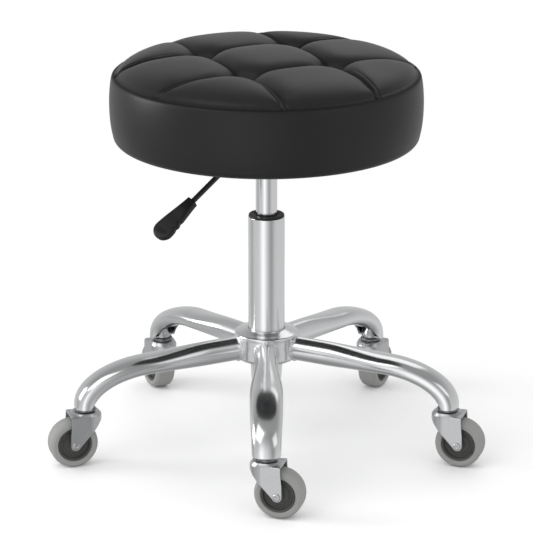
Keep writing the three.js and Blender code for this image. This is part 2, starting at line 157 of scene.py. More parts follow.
def rounded(corners, radius, closed=False, steps=4):
    """Outline with every corner replaced by a parabola between points one radius away along both sides,
    or half a side where the side is short."""
    corners = np.array(corners, float)
    before = np.roll(corners, 1, axis=0) - corners
    after = np.roll(corners, -1, axis=0) - corners
    before_length = np.linalg.norm(before, axis=1, keepdims=True)
    after_length = np.linalg.norm(after, axis=1, keepdims=True)
    start = corners + before * np.minimum(radius / before_length, 0.45)
    end = corners + after * np.minimum(radius / after_length, 0.45)
    t = np.linspace(0, 1, steps + 1)[None, :, None]
    arcs = start[:, None] * (1 - t) ** 2 + corners[:, None] * 2 * t * (1 - t) + end[:, None] * t ** 2
    if closed:
        return arcs.reshape(-1, 2)
    return np.concatenate([corners[:1], arcs[1:-1].reshape(-1, 2), corners[-1:]])


def turned(profile, origin, axis=UP, steps=72):
    """Profile of (radius, height) carried round an axis: origin + height * axis + radius * a unit vector
    that makes one full turn square to the axis."""
    axis = unit(np.array(axis, float))
    side = unit(np.cross(axis, [0.31, 0.83, 0.47]))
    other = np.cross(axis, side)
    angle = np.linspace(0, 2 * np.pi, steps, endpoint=False)[:, None, None]
    radius = profile[None, :, 0, None]
    height = profile[None, :, 1, None]
    return origin + height * axis + radius * (np.cos(angle) * side + np.sin(angle) * other)


def quads(rows, columns, wrap_rows, wrap_columns):
    """Four-sided faces between the neighbours of a grid of points."""
    row = np.arange(rows if wrap_rows else rows - 1)
    column = np.arange(columns if wrap_columns else columns - 1)
    a, b = np.meshgrid(row, column, indexing="ij")
    a_next = (a + 1) % rows
    b_next = (b + 1) % columns
    corners = [a * columns + b, a_next * columns + b, a_next * columns + b_next, a * columns + b_next]
    return np.stack(corners, axis=-1).reshape(-1, 4)


def piece_from(name, patches, sharp=35):
    """One object from grids of points, each (points, wraps along rows, wraps along columns). Points in one
    place are joined, which closes seams and poles, and faces are turned outwards."""
    vertices, faces, start = [], [], 0
    for points, wrap_rows, wrap_columns in patches:
        rows, columns = points.shape[:2]
        vertices.append(points.reshape(-1, 3))
        faces.append(quads(rows, columns, wrap_rows, wrap_columns) + start)
        start += rows * columns
    mesh = bpy.data.meshes.new(name)
    mesh.from_pydata(np.concatenate(vertices), [], np.concatenate(faces))
    shell = bmesh.new()
    shell.from_mesh(mesh)
    bmesh.ops.remove_doubles(shell, verts=shell.verts, dist=2e-6)
    bmesh.ops.dissolve_degenerate(shell, edges=shell.edges, dist=1e-7)
    bmesh.ops.recalc_face_normals(shell, faces=shell.faces)
    shell.to_mesh(mesh)
    shell.free()
    mesh.shade_smooth()
    mesh.set_sharp_from_angle(angle=math.radians(sharp))
    piece = bpy.data.objects.new(name, mesh)
    bpy.context.scene.collection.objects.link(piece)
    return piece


def fitted(piece, body, slot, finish, *nodes):
    """Rides the piece on its body, gives it its finish, and hides the nodes it stands for; the slot is not
    used.
    """
    piece.data.materials.append(finish)
    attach(piece, body)
    if nodes:
        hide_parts(*nodes)
    return piece


def refinish(finish, *nodes):
    """Gives nodes that stay visible a new finish."""
    for node in nodes:
        materials = frame["nodes"][node].data.materials
        materials.clear()
        materials.append(finish)


def turned_piece(name, corners, radius, origin, axis=UP, steps=72, closed=True, sharp=35):
    """A turned part from the corners of its profile, in metres, with each edge rounded."""
    profile = rounded(corners, radius, closed)
    return piece_from(name, [(turned(profile, origin, axis, steps), True, closed)], sharp)


def walled(piece, thickness, edge):
    """Gives an open sheet its wall, inwards, and rounds the wall's edges."""
    wall = piece.modifiers.new("wall", "SOLIDIFY")
    wall.thickness = thickness
    wall.offset = -1
    bevel = piece.modifiers.new("edge", "BEVEL")
    bevel.width = edge
    bevel.segments = 2
    bevel.limit_method = "ANGLE"
    bevel.angle_limit = math.radians(50)


def both_sides(half):
    """Profile of a wheel's part from its half on one side of the wheel's middle plane."""
    return half + [(radius, -height) for radius, height in reversed(half) if height > 0]


def tube_along(path, radius, sides=24):
    """Round tube along a path in one plane: rings square to the path, drawn in to a point at both ends."""
    path = np.array(path, float)
    along = np.gradient(path, axis=0)
    along /= np.linalg.norm(along, axis=1, keepdims=True)
    plane = unit(np.cross(path[-1] - path[0], UP + along[0] * 0.01))
    other = np.cross(along, plane)
    angle = np.linspace(0, 2 * np.pi, sides, endpoint=False)[None, :, None]
    rings = path[:, None] + radius * (np.cos(angle) * plane + np.sin(angle) * other[:, None])
    ends = np.repeat(path[[0, -1]][:, None], sides, axis=1)
    return np.concatenate([ends[:1], rings, ends[1:]])


# ---- finishes -------------------------------------------------------------------------------------
class Value:
    """A socket that does arithmetic: each operator adds one Math node."""

    def __init__(self, finish, socket):
        self.finish = finish
        self.socket = socket

    def sum_of(self, operation, first, second=0.0):
        settings = {"operation": operation}
        return self.finish.node("ShaderNodeMath", settings, {0: first, 1: second}).value(0)

    def __add__(self, other):
        return self.sum_of("ADD", self, other)

    def __radd__(self, other):
        return self.sum_of("ADD", other, self)

    def __sub__(self, other):
        return self.sum_of("SUBTRACT", self, other)

    def __rsub__(self, other):
        return self.sum_of("SUBTRACT", other, self)

    def __mul__(self, other):
        return self.sum_of("MULTIPLY", self, other)

    def __rmul__(self, other):
        return self.sum_of("MULTIPLY", other, self)


class Node:
    """One shader node, whose outputs are read as values."""

    def __init__(self, finish, node):
        self.finish = finish
        self.node = node

    def value(self, output):
        return Value(self.finish, self.node.outputs[output])


class Graph:
    """A node tree that is built node by node."""

    def __init__(self, tree):
        self.tree = tree

    def node(self, kind, settings=None, inputs=None):
        """Adds a node: its settings first, then the values or links of its sockets."""
        node = self.tree.nodes.new(kind)
        for key, setting in (settings or {}).items():
            if key == "stops":
                self.set_stops(node.color_ramp, setting)
            else:
                setattr(node, key, setting)
        for key, value in (inputs or {}).items():
            self.feed(node.inputs[key], value)
        return Node(self, node)

    def set_stops(self, ramp, stops):
        while len(ramp.elements) < len(stops):
            ramp.elements.new(0.5)
        for element, (position, level) in zip(ramp.elements, stops):
            element.position = position
            element.color = (level, level, level, 1)

    def feed(self, socket, value):
        if isinstance(value, Value):
            self.tree.links.new(value.socket, socket)
        else:
            socket.default_value = value

    def ramp(self, value, *stops):
        """Level between stops of (position, level)."""
        return self.node("ShaderNodeValToRGB", {"stops": stops}, {0: value}).value(0)

    def blend(self, first, second, share):
        """Colour between two colours."""
        inputs = {"Factor": share, 6: first, 7: second}
        return self.node("ShaderNodeMix", {"data_type": "RGBA"}, inputs).value(2)


class Finish(Graph):
    """One node material on a Principled BSDF, patterned in object coordinates."""

    def __init__(self, name, **constants):
        self.material = bpy.data.materials.new(name)
        self.material.use_nodes = True
        super().__init__(self.material.node_tree)
        self.shader = self.tree.nodes["Principled BSDF"]
        for socket, value in constants.items():
            self.shader.inputs[socket.replace("_", " ")].default_value = value
        self.place = self.node("ShaderNodeTexCoord").value("Object")

    def stretched(self, x, y, z):
        """Object coordinates scaled along each axis."""
        return self.node("ShaderNodeMapping", {}, {"Vector": self.place, "Scale": (x, y, z)}).value(0)

    def noise(self, scale, detail=3.0, roughness=0.5, place=None):
        inputs = {"Vector": place or self.place, "Scale": scale, "Detail": detail, "Roughness": roughness}
        return self.node("ShaderNodeTexNoise", {}, inputs).value(0)

    def cells(self, scale):
        inputs = {"Vector": self.place, "Scale": scale}
        return self.node("ShaderNodeTexVoronoi", {"feature": "F1"}, inputs).value("Distance")

    def bands(self, scale, direction, distortion=0.0, place=None):
        settings = {"wave_type": "BANDS", "bands_direction": direction}
        inputs = {"Vector": place or self.place, "Scale": scale, "Distortion": distortion}
        return self.node("ShaderNodeTexWave", settings, inputs).value(1)

    def colour(self, value):
        self.feed(self.shader.inputs["Base Color"], value)

    def roughness(self, value):
        self.feed(self.shader.inputs["Roughness"], value)

    def relief(self, height, depth, strength=1.0):
        """Bumps of a height from 0 to 1, in metres of depth."""
        inputs = {"Height": height, "Distance": depth, "Strength": strength}
        bumps = self.node("ShaderNodeBump", {}, inputs).value(0)
        self.feed(self.shader.inputs["Normal"], bumps)


def shade(colour, factor=1.0):
    return (*[channel * factor for channel in colour[:3]], 1.0)


def leather(colour):
    """Faux leather: fine pebbled grain, slow changes of sheen, faint lighter wear on the grain's tops, and
    painted shade that darkens it nearly to black where the fold attribute marks creases, tufts and the seam.
    """
    finish = Finish("faux_leather", Specular_IOR_Level=0.24, Sheen_Weight=0.02, Sheen_Roughness=0.4)
    grain = finish.cells(900)
    wrinkle = finish.noise(260, 4, 0.6)
    cloud = finish.noise(9, 2, 0.5)
    # painted shade: the fold attribute, 1 in creases, tuft pits and the seam, darkens the colour nearly to
    # black there
    fold = finish.node("ShaderNodeAttribute", {"attribute_name": "fold"}).value("Fac")
    skin = finish.blend(shade(colour, 0.85), shade(colour, 1.25), cloud * 0.7 + grain * 0.3)
    finish.colour(finish.blend(skin, shade(colour, 0.06), fold))
    finish.roughness(0.31 + 0.1 * cloud + 0.06 * grain + 0.3 * fold)
    finish.relief(grain * 0.6 + wrinkle * 0.5, 0.0001, 0.5)
    return finish.material


def chrome(colour):
    """Polished plate: mirror with faint polishing haze and dust-fine unevenness."""
    finish = Finish("polished_chrome", Metallic=1.0)
    haze = finish.noise(14, 4, 0.55)
    fine = finish.noise(900, 2, 0.5)
    finish.colour(finish.blend(shade(colour, 0.94), shade(colour), haze))
    finish.roughness(0.16 + 0.07 * finish.ramp(haze, (0.35, 0.0), (0.75, 1.0)) + 0.015 * fine)
    finish.relief(finish.noise(35, 2, 0.4), 0.0001, 0.25)
    return finish.material


def zinc(colour):
    """Satin zinc plate: crystalline mottling, light handling marks."""
    finish = Finish("satin_zinc", Metallic=1.0)
    spangle = finish.cells(420)
    haze = finish.noise(40, 4, 0.6)
    marks = finish.noise(1.0, 3, 0.6, finish.stretched(900, 900, 120))
    finish.colour(finish.blend(shade(colour, 0.82), shade(colour, 1.05), haze * 0.7 + spangle * 0.3))
    finish.roughness(0.2 + 0.14 * haze + 0.06 * marks)
    finish.relief(marks * 0.6 + haze * 0.4, 0.00003, 0.4)
    return finish.material


def moulded(name, colour, grain_size, gloss, depth=0.00004):
    """Moulded plastic: fine spark-eroded texture, slightly uneven gloss, scuffs."""
    finish = Finish(name, Specular_IOR_Level=0.4)
    grain = finish.noise(1 / grain_size, 2, 0.6)
    cloud = finish.noise(30, 3, 0.5)
    finish.colour(finish.blend(shade(colour, 0.85), shade(colour, 1.15), cloud))
    finish.roughness(gloss + 0.12 * cloud + 0.08 * grain)
    finish.relief(grain, depth, 0.5)
    return finish.material


def rubber(name, colour):
    """Soft tread: matt, mottled, lightly dusted, with a fine skin."""
    finish = Finish(name, Specular_IOR_Level=0.3)
    mottle = finish.noise(120, 5, 0.65)
    dust = finish.noise(22, 4, 0.55)
    finish.colour(finish.blend(shade(colour, 0.88), shade(colour, 1.12), dust * 0.6 + mottle * 0.4))
    finish.roughness(0.5 + 0.18 * dust + 0.06 * mottle)
    finish.relief(mottle, 0.00006, 0.5)
    return finish.material


def powder_coat(colour):
    """Black powder coat: orange-peel skin with soft gloss."""
    finish = Finish("black_powder_coat", Specular_IOR_Level=0.45)
    peel = finish.noise(700, 2, 0.5)
    cloud = finish.noise(25, 3, 0.5)
    finish.colour(finish.blend(shade(colour, 0.8), shade(colour, 1.3), cloud))
    finish.roughness(0.33 + 0.12 * cloud)
    finish.relief(peel, 0.00006, 0.6)
    return finish.material


def non_woven(colour):
    """Spun-bonded dust cloth: matted fibres and a grid of small bonding dots."""
    finish = Finish("dust_cloth", Specular_IOR_Level=0.2, Sheen_Weight=0.2)
    fibres = finish.noise(1.0, 5, 0.7, finish.stretched(1400, 500, 900))
    dots = finish.cells(420)
    finish.colour(finish.blend(shade(colour, 0.7), shade(colour, 1.6), fibres))
    finish.roughness(0.8 + 0.15 * fibres)
    finish.relief(fibres * 0.5 + dots * 0.5, 0.0002, 0.7)
    return finish.material


def plywood(colour):
    """Plywood: veneer grain along X, dark glue lines between plies."""
    finish = Finish("plywood", Specular_IOR_Level=0.3)
    grain = finish.noise(1.0, 6, 0.6, finish.stretched(12, 160, 160))
    plies = finish.bands(190, "Z", 0.6)
    finish.colour(finish.blend(shade(colour, 0.6), shade(colour, 1.1), grain * 0.6 + plies * 0.4))
    finish.roughness(0.6 + 0.2 * grain)
    finish.relief(grain, 0.0002, 0.5)
    return finish.material


# ---- sizes and colours that a user may change -----------------------------------------------------
def length(name, text, default):
    return FloatProperty(name=name, description=text, default=default, min=0.0, unit="LENGTH", precision=5)


def tint(name, text, default):
    return FloatVectorProperty(name=name, description=text, default=default, size=3, min=0.0, max=1.0,
                               subtype="COLOR")


class StoolCushion(PropertyGroup):
    crown: length("Crown", "Rise of the seat's top above its seam", 0.0225)
    centre_rise: length("Centre rise", "Extra rise of the middle panel", 0.004)
    rim_width: length("Rim width", "Width of the low rim between the panels and the seam", 0.0075)
    rim_rise: length("Rim rise", "Rise of the low rim above the seam", 0.003)
    tuft_spacing: length("Tuft spacing", "Distance between neighbouring tufts", 0.128)
    tuft_turn: FloatProperty(name="Tuft turn", description="Turn of the tufting about the seat's axis",
                             default=math.radians(26), subtype="ANGLE")
    tuft_depth: length("Tuft depth", "Extra depth of each tuft", 0.027)
    valley_depth: length("Valley depth", "Depth of the sewn valleys", 0.011)
    valley_width: length("Valley width", "Reach of a valley's slope", 0.0105)
    pleat_depth: length("Pleat depth", "Depth of the fine fold in each valley", 0.003)
    seam_depth: length("Seam depth", "Depth of the seam round the rim", 0.0016)
    pressure: FloatProperty(name="Stuffing pressure", description="Pressure of the cloth's stuffing",
                            default=4.0, min=0.0)
    swell: length("Swell", "Most that the stuffing may push the top out", 0.006)
    leather: tint("Leather", "Colour of the seat's cover", (0.0135, 0.0135, 0.014))


class StoolMetal(PropertyGroup):
    arm_width: length("Arm width", "Width of an arm where it is pressed flat", 0.0424)
    arm_height: length("Arm height", "Height of an arm where it is pressed flat", 0.0244)
    arm_wall: length("Arm wall", "Wall of the arm's tube", 0.002)
    weld: length("Weld", "Radius of the weld beads at the hub", 0.0016)
    chrome: tint("Chrome", "Colour of the chrome plate", (0.86, 0.87, 0.88))
    zinc: tint("Zinc", "Colour of the zinc plate", (0.60, 0.61, 0.62))
    coating: tint("Coating", "Colour of the coated steel", (0.018, 0.018, 0.02))


class StoolCasters(PropertyGroup):
    fork_sheet: length("Fork sheet", "Thickness of the fork's sheet", 0.0023)
    fork_bend: length("Fork bend", "Outer radius of the fork's bends", 0.0032)
    tyre: tint("Tyre", "Colour of the tyres", (0.27, 0.27, 0.265))
    core: tint("Core", "Colour of the wheel cores", (0.062, 0.062, 0.058))


class StoolLever(PropertyGroup):
    grip_width: length("Grip width", "Width of the grip near its end", 0.028)
    grip_depth: length("Grip depth", "Thickness of the grip", 0.0125)
    grip_twist: FloatProperty(name="Grip twist", description="Turn of the grip about its rod",
                              default=math.radians(25), subtype="ANGLE")
    grip: tint("Grip", "Colour of the grip", (0.006, 0.006, 0.0065))


class StoolStage(PropertyGroup):
    floor: tint("Floor", "Colour of the studio floor", (0.985, 0.985, 0.985))
    key_power: FloatProperty(name="Key power", description="Power of the key light", default=20.0,
                             subtype="POWER")
    even_light: FloatProperty(name="Even light", description="Brightness round matt surfaces",
                              default=0.95, min=0.0)
    mirror_light: FloatProperty(name="Mirror light", description="Brightness of the surroundings in polish",
                                default=1.3, min=0.0)
    box_turn: FloatProperty(name="Soft box", description="Turn of the soft box from the camera's side",
                            default=math.radians(-20), subtype="ANGLE")
    flag_turn: FloatProperty(name="Front flag", description="Turn of the front flag from the camera's side",
                             default=math.radians(30), subtype="ANGLE")
    back_flag_turn: FloatProperty(name="Back flag", description="Turn of the back flag from the camera",
                                  default=math.radians(-105), subtype="ANGLE")
    lens: length("Lens", "Focal length of the camera", 0.17797)
    distance: length("Camera distance", "Level distance from the camera to the column", 3.2913)
    height: length("Camera height", "Height of the camera above the floor", 1.3013)
    pitch: FloatProperty(name="Pitch", description="Angle that the camera looks down",
                         default=math.radians(17.787), subtype="ANGLE")


# ---- seat -----------------------------------------------------------------------------------------
SEAM_RADIUS = 0.1983
SEAM_Z = 0.506


def lattice(crease):
    """Places from -1 to 1 across the seat: even steps moved by a sine, so that they lie closest together at
    the creases and the rim."""
    inner = np.linspace(0, 1, 15)
    inner = crease * (inner + 0.65 * np.sin(np.pi * inner) / np.pi)
    outer = np.linspace(0, 1, 35)[1:]
    outer = crease + (1 - crease) * (outer - 0.65 * np.sin(2 * np.pi * outer) / (2 * np.pi))
    half = np.concatenate([inner, outer])
    return np.concatenate([-half[:0:-1], half])


def disc_points(steps, turn):
    """Square lattice drawn into a disc: each point moves along its ray by a share, growing with the square
    of its distance, of the way from its square ring to the round one; then the disc is turned."""
    u, v = np.meshgrid(steps, steps, indexing="ij")
    ring = np.maximum(abs(u), abs(v))
    reach = np.maximum(np.hypot(u, v), 1e-9)
    scale = mix(1.0, ring / reach, ring ** 2)
    x, y = u * scale, v * scale
    return x * math.cos(turn) - y * math.sin(turn), x * math.sin(turn) + y * math.cos(turn)


def rim_order(count):
    """Row and column numbers of the lattice's edge, in order round the square."""
    run = np.arange(count - 1)
    last = np.full(count - 1, count - 1)
    zero = np.zeros(count - 1, int)
    rows = np.concatenate([run, last, count - 1 - run, zero])
    columns = np.concatenate([zero, run, last, count - 1 - run])
    return rows, columns


class TuftedSeat:
    """The seat's surface: a tufted top, a side band and a closed underside, as one grid-built shell."""

    def __init__(self, settings):
        self.settings = settings
        self.half = settings.tuft_spacing / 2
        self.crease = self.half / SEAM_RADIUS
        self.steps = lattice(self.crease)
        self.x, self.y = disc_points(self.steps, settings.tuft_turn)
        self.x, self.y = self.x * SEAM_RADIUS, self.y * SEAM_RADIUS
        self.u, self.v = np.meshgrid(self.steps * SEAM_RADIUS, self.steps * SEAM_RADIUS, indexing="ij")

    def crease_gaps(self):
        """Distance outwards from the nearest crease of each family."""
        from_u = abs(self.u) - self.half
        from_v = abs(self.v) - self.half
        return from_u, from_v

    def top(self):
        """Height of the top: a flattened dome that drops steeply to a low rim, less a valley along each
        crease whose slope fades exponentially, less a pit at each tuft."""
        s = self.settings
        radius = np.hypot(self.x, self.y)
        share = np.clip(radius / SEAM_RADIUS, 0, 1)
        panel = np.clip(radius / (SEAM_RADIUS - s.rim_width), 0, 1)
        dome = s.crown * (1 - panel ** 6) ** 0.75 + s.centre_rise * bump_at(radius, 0, 0.085)
        rim = s.rim_rise * (1 - smooth(share, 0.93, 1.0) ** 2)
        from_u, from_v = self.crease_gaps()
        fade = 1 - 0.55 * smooth(share, 0.5, 0.85) - 0.45 * smooth(share, 0.85, 0.96)
        valleys = sum(np.exp(-(abs(gap) / s.valley_width) ** 1.05) for gap in (from_u, from_v))
        from_tuft = np.hypot(from_u, from_v)
        pit = 0.45 * np.exp(-(from_tuft / 0.019) ** 1.5) + 0.55 * np.exp(-(from_tuft / 0.0105) ** 2)
        return SEAM_Z + dome + rim - s.valley_depth * fade * valleys - s.tuft_depth * pit

    def side_profile(self):
        """Side band and underside as (radius, height): bulged band, rounded lower edge, turned-under hem,
        then inside over the board to the axis."""
        low = bottom_of("seat_cover")
        wide = radius_of("seat_cover") - 0.0008
        turn_in = 0.0115
        height = SEAM_Z - low - turn_in
        drop = np.concatenate([[0.0008, 0.0018, 0.0034], np.linspace(0.006, height, 14)])
        share = drop / height
        bulge = (1 - (2 * share - 1) ** 2) ** 0.8
        band = np.stack([SEAM_RADIUS + (wide - SEAM_RADIUS) * bulge, SEAM_Z - drop], axis=1)
        angle = np.linspace(0, np.pi / 2, 7)[1:]
        corner = np.stack([SEAM_RADIUS + turn_in * (np.cos(angle) - 1),
                           low + turn_in * (1 - np.sin(angle))], axis=1)
        under = top_of("dust_cover") + 0.0003
        board_top = top_of("seat_board") + 0.0003
        board_edge = radius_of("seat_board") + 0.001
        hem = [(0.1835, under), (0.1715, under + 0.0001), (0.1705, under + 0.0009), (0.1715, under + 0.0017),
               (board_edge, under + 0.002), (board_edge, board_top), (0.12, board_top)]
        return np.concatenate([band, corner, hem])

    def points(self):
        """Top grid, rings of the side and underside that carry on from its rim, and a flat grid over the
        board that closes the last ring."""
        top = np.stack([self.x, self.y, self.top()], axis=-1)
        rows, columns = rim_order(len(self.steps))
        rim = top[rows, columns]
        outward = rim[:, :2] / np.linalg.norm(rim[:, :2], axis=1, keepdims=True)
        profile = self.side_profile()
        rings = np.empty((len(profile), len(rim), 3))
        rings[..., :2] = profile[:, 0, None, None] * outward
        rings[..., 2] = profile[:, 1, None]
        share = profile[-1, 0] / SEAM_RADIUS
        floor = np.stack([self.x * share, self.y * share, self.x * 0 + profile[-1, 1]], axis=-1)
        return top, np.concatenate([rim[None], rings]), floor

    def on_creases(self, points):
        """Distances of points from the two middle lines of the tufting, and from the axis."""
        turn = self.settings.tuft_turn
        u = points[:, 0] * math.cos(turn) + points[:, 1] * math.sin(turn)
        v = points[:, 1] * math.cos(turn) - points[:, 0] * math.sin(turn)
        return u, v, np.hypot(points[:, 0], points[:, 1])

    def drawn_in(self, radius):
        """Half the gap between creases, which draw together toward the rim."""
        return self.half * (1 - 0.045 * np.clip(radius / SEAM_RADIUS, 0, 1) ** 4)

    def loose(self, points):
        """How freely the stuffing may move each point: not at the creases, the seam, the hem or inside."""
        u, v, radius = self.on_creases(points)
        gap = np.minimum(abs(abs(u) - self.half), abs(abs(v) - self.half))
        rim = self.settings.rim_width
        top = smooth(gap, 0.0008, 0.012) * smooth(SEAM_RADIUS - radius, rim * 0.7, rim * 1.8)
        band = (smooth(SEAM_Z - points[:, 2], 0.002, 0.02)
                * smooth(points[:, 2], bottom_of("seat_cover") + 0.006, bottom_of("seat_cover") + 0.03))
        on_top = points[:, 2] > SEAM_Z - 0.0005
        inside = radius < 0.19
        return np.where(on_top, top, np.where(inside, 0.0, band))

    def fold_shade(self, points):
        """Painted shade for the leather: how deep each point lies in a fold, 1 on a crease, at a tuft or in
        the seam, fading beside it; the leather's colour darkens there as if shaded.
        """
        u, v, radius = self.on_creases(points)
        from_u = abs(abs(u) - self.drawn_in(radius))
        from_v = abs(abs(v) - self.drawn_in(radius))
        crease = np.exp(-(np.minimum(from_u, from_v) / 0.0035)) * (1 - smooth(radius, 0.183, 0.191))
        tuft = np.exp(-(np.hypot(from_u, from_v) / 0.0135) ** 2)
        seam = np.exp(-abs(points[:, 2] - SEAM_Z) / 0.0011) * (radius > 0.19)
        on_top = points[:, 2] > SEAM_Z - 0.0002
        return np.clip(np.where(on_top, np.maximum(0.8 * crease, tuft), 0) + seam, 0, 1)

    def pleats(self, points):
        """Fine folds left by sewing: a groove on each crease, a lip beside it and a second, shallower groove
        that grows toward the rim."""
        depth = self.settings.pleat_depth
        u, v, radius = self.on_creases(points)
        share = np.clip(radius / SEAM_RADIUS, 0, 1)
        fold = np.zeros(len(points))
        for across, along in ((u, v), (v, u)):
            gap = abs(across) - self.drawn_in(radius)
            outer = smooth(abs(along), self.half + 0.02, self.half + 0.09)
            fold -= depth * np.exp(-abs(gap) / 0.0015) * smooth(share, 0.0, 0.2)
            lip, second = bump_at(gap, 0.0032, 0.0016), bump_at(gap, 0.0058, 0.0012)
            fold += depth * outer * (0.55 * lip - 0.75 * second)
        return fold * (points[:, 2] > SEAM_Z - 0.0002) * smooth(SEAM_RADIUS - radius, 0.0, 0.004)


def stuffed(piece, settings, free):
    """Cloth run: pressure swells the cover off its sewn lines, and how far a point may move is capped."""
    before = np.empty(len(piece.data.vertices) * 3)
    piece.data.vertices.foreach_get("co", before)
    before = before.reshape(-1, 3)
    pins = piece.vertex_groups.new(name="pins")
    for weight in np.unique(np.round(1 - free, 1)):
        members = np.nonzero(np.round(1 - free, 1) == weight)[0]
        pins.add(members.tolist(), float(weight), "REPLACE")
    cloth = piece.modifiers.new("stuffing", "CLOTH")
    cloth.settings.quality = 6
    cloth.settings.mass = 0.35
    cloth.settings.tension_stiffness = 12
    cloth.settings.compression_stiffness = 12
    cloth.settings.shear_stiffness = 4
    cloth.settings.bending_stiffness = 1.5
    cloth.settings.use_pressure = True
    cloth.settings.uniform_pressure_force = settings.pressure
    cloth.settings.effector_weights.gravity = 0
    cloth.settings.vertex_group_mass = "pins"
    cloth.settings.pin_stiffness = 8
    cloth.point_cache.frame_start = 1
    cloth.point_cache.frame_end = 20
    for moment in range(1, 21):
        bpy.context.scene.frame_set(moment)
    posed = piece.evaluated_get(bpy.context.evaluated_depsgraph_get())
    after = np.empty_like(before)
    posed.data.vertices.foreach_get("co", after.reshape(-1))
    piece.modifiers.remove(cloth)
    piece.vertex_groups.remove(pins)
    bpy.context.scene.frame_set(1)
    move = after - before
    far = np.linalg.norm(move, axis=1, keepdims=True)
    cap = np.where(before[:, 2:] > SEAM_Z, settings.swell, settings.swell * 0.25) * free[:, None]
    move *= np.minimum(1, cap / np.maximum(far, 1e-9))
    piece.data.vertices.foreach_set("co", (before + move).reshape(-1))


class STOOL_OT_cushion(Operator):
    """Build the tufted, stuffed seat cushion"""

    bl_idname = "stool.cushion"
    bl_label = "Seat cushion"

    def execute(self, context):
        settings = context.scene.stool_cushion
        seat = TuftedSeat(settings)
        top, rings, floor = seat.points()
        cushion = piece_from("seat_cushion", [(top, False, False), (rings, False, True),
                                              (floor, False, False)], sharp=180)
        mesh = cushion.data
        points = np.empty(len(mesh.vertices) * 3)
        mesh.vertices.foreach_get("co", points)
        free = seat.loose(points.reshape(-1, 3))
        stuffed(cushion, settings, free)
        mesh.vertices.foreach_get("co", points)
        points = points.reshape(-1, 3)
        points[:, 2] += seat.pleats(points)
        radius = np.hypot(points[:, 0], points[:, 1])[:, None]
        groove = settings.seam_depth * np.exp(-abs(points[:, 2:] - SEAM_Z) / 0.0011) * (radius > 0.195)
        points[:, :2] *= 1 - groove / np.maximum(radius, 1e-6)
        # painted shade: the fold attribute darkens the leather's colour in its creases, tufts and seam
        shadow = mesh.attributes.new("fold", "FLOAT", "POINT")
        shadow.data.foreach_set("value", seat.fold_shade(points))
        points += AXIS
        mesh.vertices.foreach_set("co", points.reshape(-1))
        mesh.update()
        finer = cushion.modifiers.new("finer", "SUBSURF")
        finer.levels = finer.render_levels = 1
        fitted(cushion, "seat", "leather", leather(settings.leather), "seat_cover", "seat_foam")
        return {"FINISHED"}


# ---- underside of the seat ------------------------------------------------------------------------
class STOOL_OT_underside(Operator):
    """Build the board's finish, the dust cover with its staples, the plate and its screws"""

    bl_idname = "stool.underside"
    bl_label = "Underside"

    def execute(self, context):
        metal = context.scene.stool_metal
        coat = powder_coat(metal.coating)
        refinish(plywood((0.42, 0.28, 0.15)), "seat_board")
        self.dust_cover()
        self.staples(zinc(metal.zinc))
        refinish(coat, "mounting_plate")
        self.socket(coat)
        self.screws(zinc(metal.zinc))
        return {"FINISHED"}

    def dust_cover(self):
        """Thin flat disc with a soft ruffled edge."""
        low, high = span("dust_cover")
        edge = radius_of("dust_cover")
        radius = np.linspace(0, 1, 60)[None, :] ** 0.8 * edge
        angle = np.linspace(0, 2 * np.pi, 192, endpoint=False)[:, None]
        ruffle = 0.0006 * np.sin(24 * angle) * smooth(radius, edge * 0.9, edge)
        reach = radius + ruffle
        z = np.full_like(reach, low)
        under = np.stack([AXIS[0] + reach * np.cos(angle), AXIS[1] + reach * np.sin(angle), z], axis=-1)
        over = under + UP * (high - low)
        shell = np.concatenate([under, over[:, ::-1]], axis=1)
        cover = piece_from("dust_cloth", [(shell, True, False)], sharp=60)
        fitted(cover, "seat", "dust_fabric", non_woven((0.012, 0.012, 0.012)), "dust_cover")

    def staples(self, finish):
        """Flat wire staples round the edge of the dust cover, each a low rounded bar."""
        low = bottom_of("dust_cover")
        ring = radius_of("dust_cover") - 0.006
        bars = []
        for angle in np.linspace(0, 2 * np.pi, 28, endpoint=False) + 0.05:
            forward = (math.cos(angle), math.sin(angle), 0)
            place = Place(AXIS + ring * np.array(forward), forward)
            t = np.linspace(-1, 1, 7)
            lift = 0.0007 * (1 - t ** 4)
            path = place.at(0 * t, 0.005 * t, low + 0.0002 - lift)
            bars.append((tube_along(path, 0.0005, 6), False, True))
        fitted(piece_from("staples", bars), "seat", "zinc_steel", finish)

    def socket(self, finish):
        low, high = span("plate_socket")
        bore = radius_of("gas_cylinder") + 0.0003
        corners = [(bore, low), (0.017, low), (0.019, high), (bore, high)]
        piece = turned_piece("taper_socket", corners, 0.0008, AXIS)
        fitted(piece, "seat", "black_steel", finish, "plate_socket")

    def screws(self, finish):
        """Pan heads with a cross recess, over a threaded shank."""
        for number in range(1, 5):
            node = f"plate_screw_{number}"
            place = middle(node) * (1, 1, 0)
            low, high = span(node)
            radius = np.linspace(0, 0.0058, 16)[None, :]
            angle = np.linspace(0, 2 * np.pi, 64, endpoint=False)[:, None]
            cross = np.minimum(abs(np.sin(2 * angle)) * radius, 0.002) / 0.002
            recess = 0.0016 * (1 - smooth(cross, 0.25, 0.6)) * (1 - smooth(radius, 0.0026, 0.0034))
            head = low + 0.0012 * (radius / 0.0058) ** 3 + recess
            flank = turned(rounded([(0.0058, low + 0.0012), (0.006, low + 0.0034), (0.003, low + 0.0036),
                                    (0.003, high), (0, high)], 0.0003), place, steps=64)
            face = np.stack([place[0] + radius * np.cos(angle), place[1] + radius * np.sin(angle), head], -1)
            piece = piece_from(f"pan_screw_{number}", [(face, True, False), (flank, True, False)])
            fitted(piece, "seat", "zinc_steel", finish, node)


# ---- lever ----------------------------------------------------------------------------------------
LEVER_Z = LEVER_PIVOT[2]
LEVER_SLOPE = math.radians(37.5)
LEVER_BEND = 0.028
BEND_RADIUS = 0.014
ROD_RADIUS = 0.0035
GRIP_START = 0.091
GRIP_LENGTH = 0.067


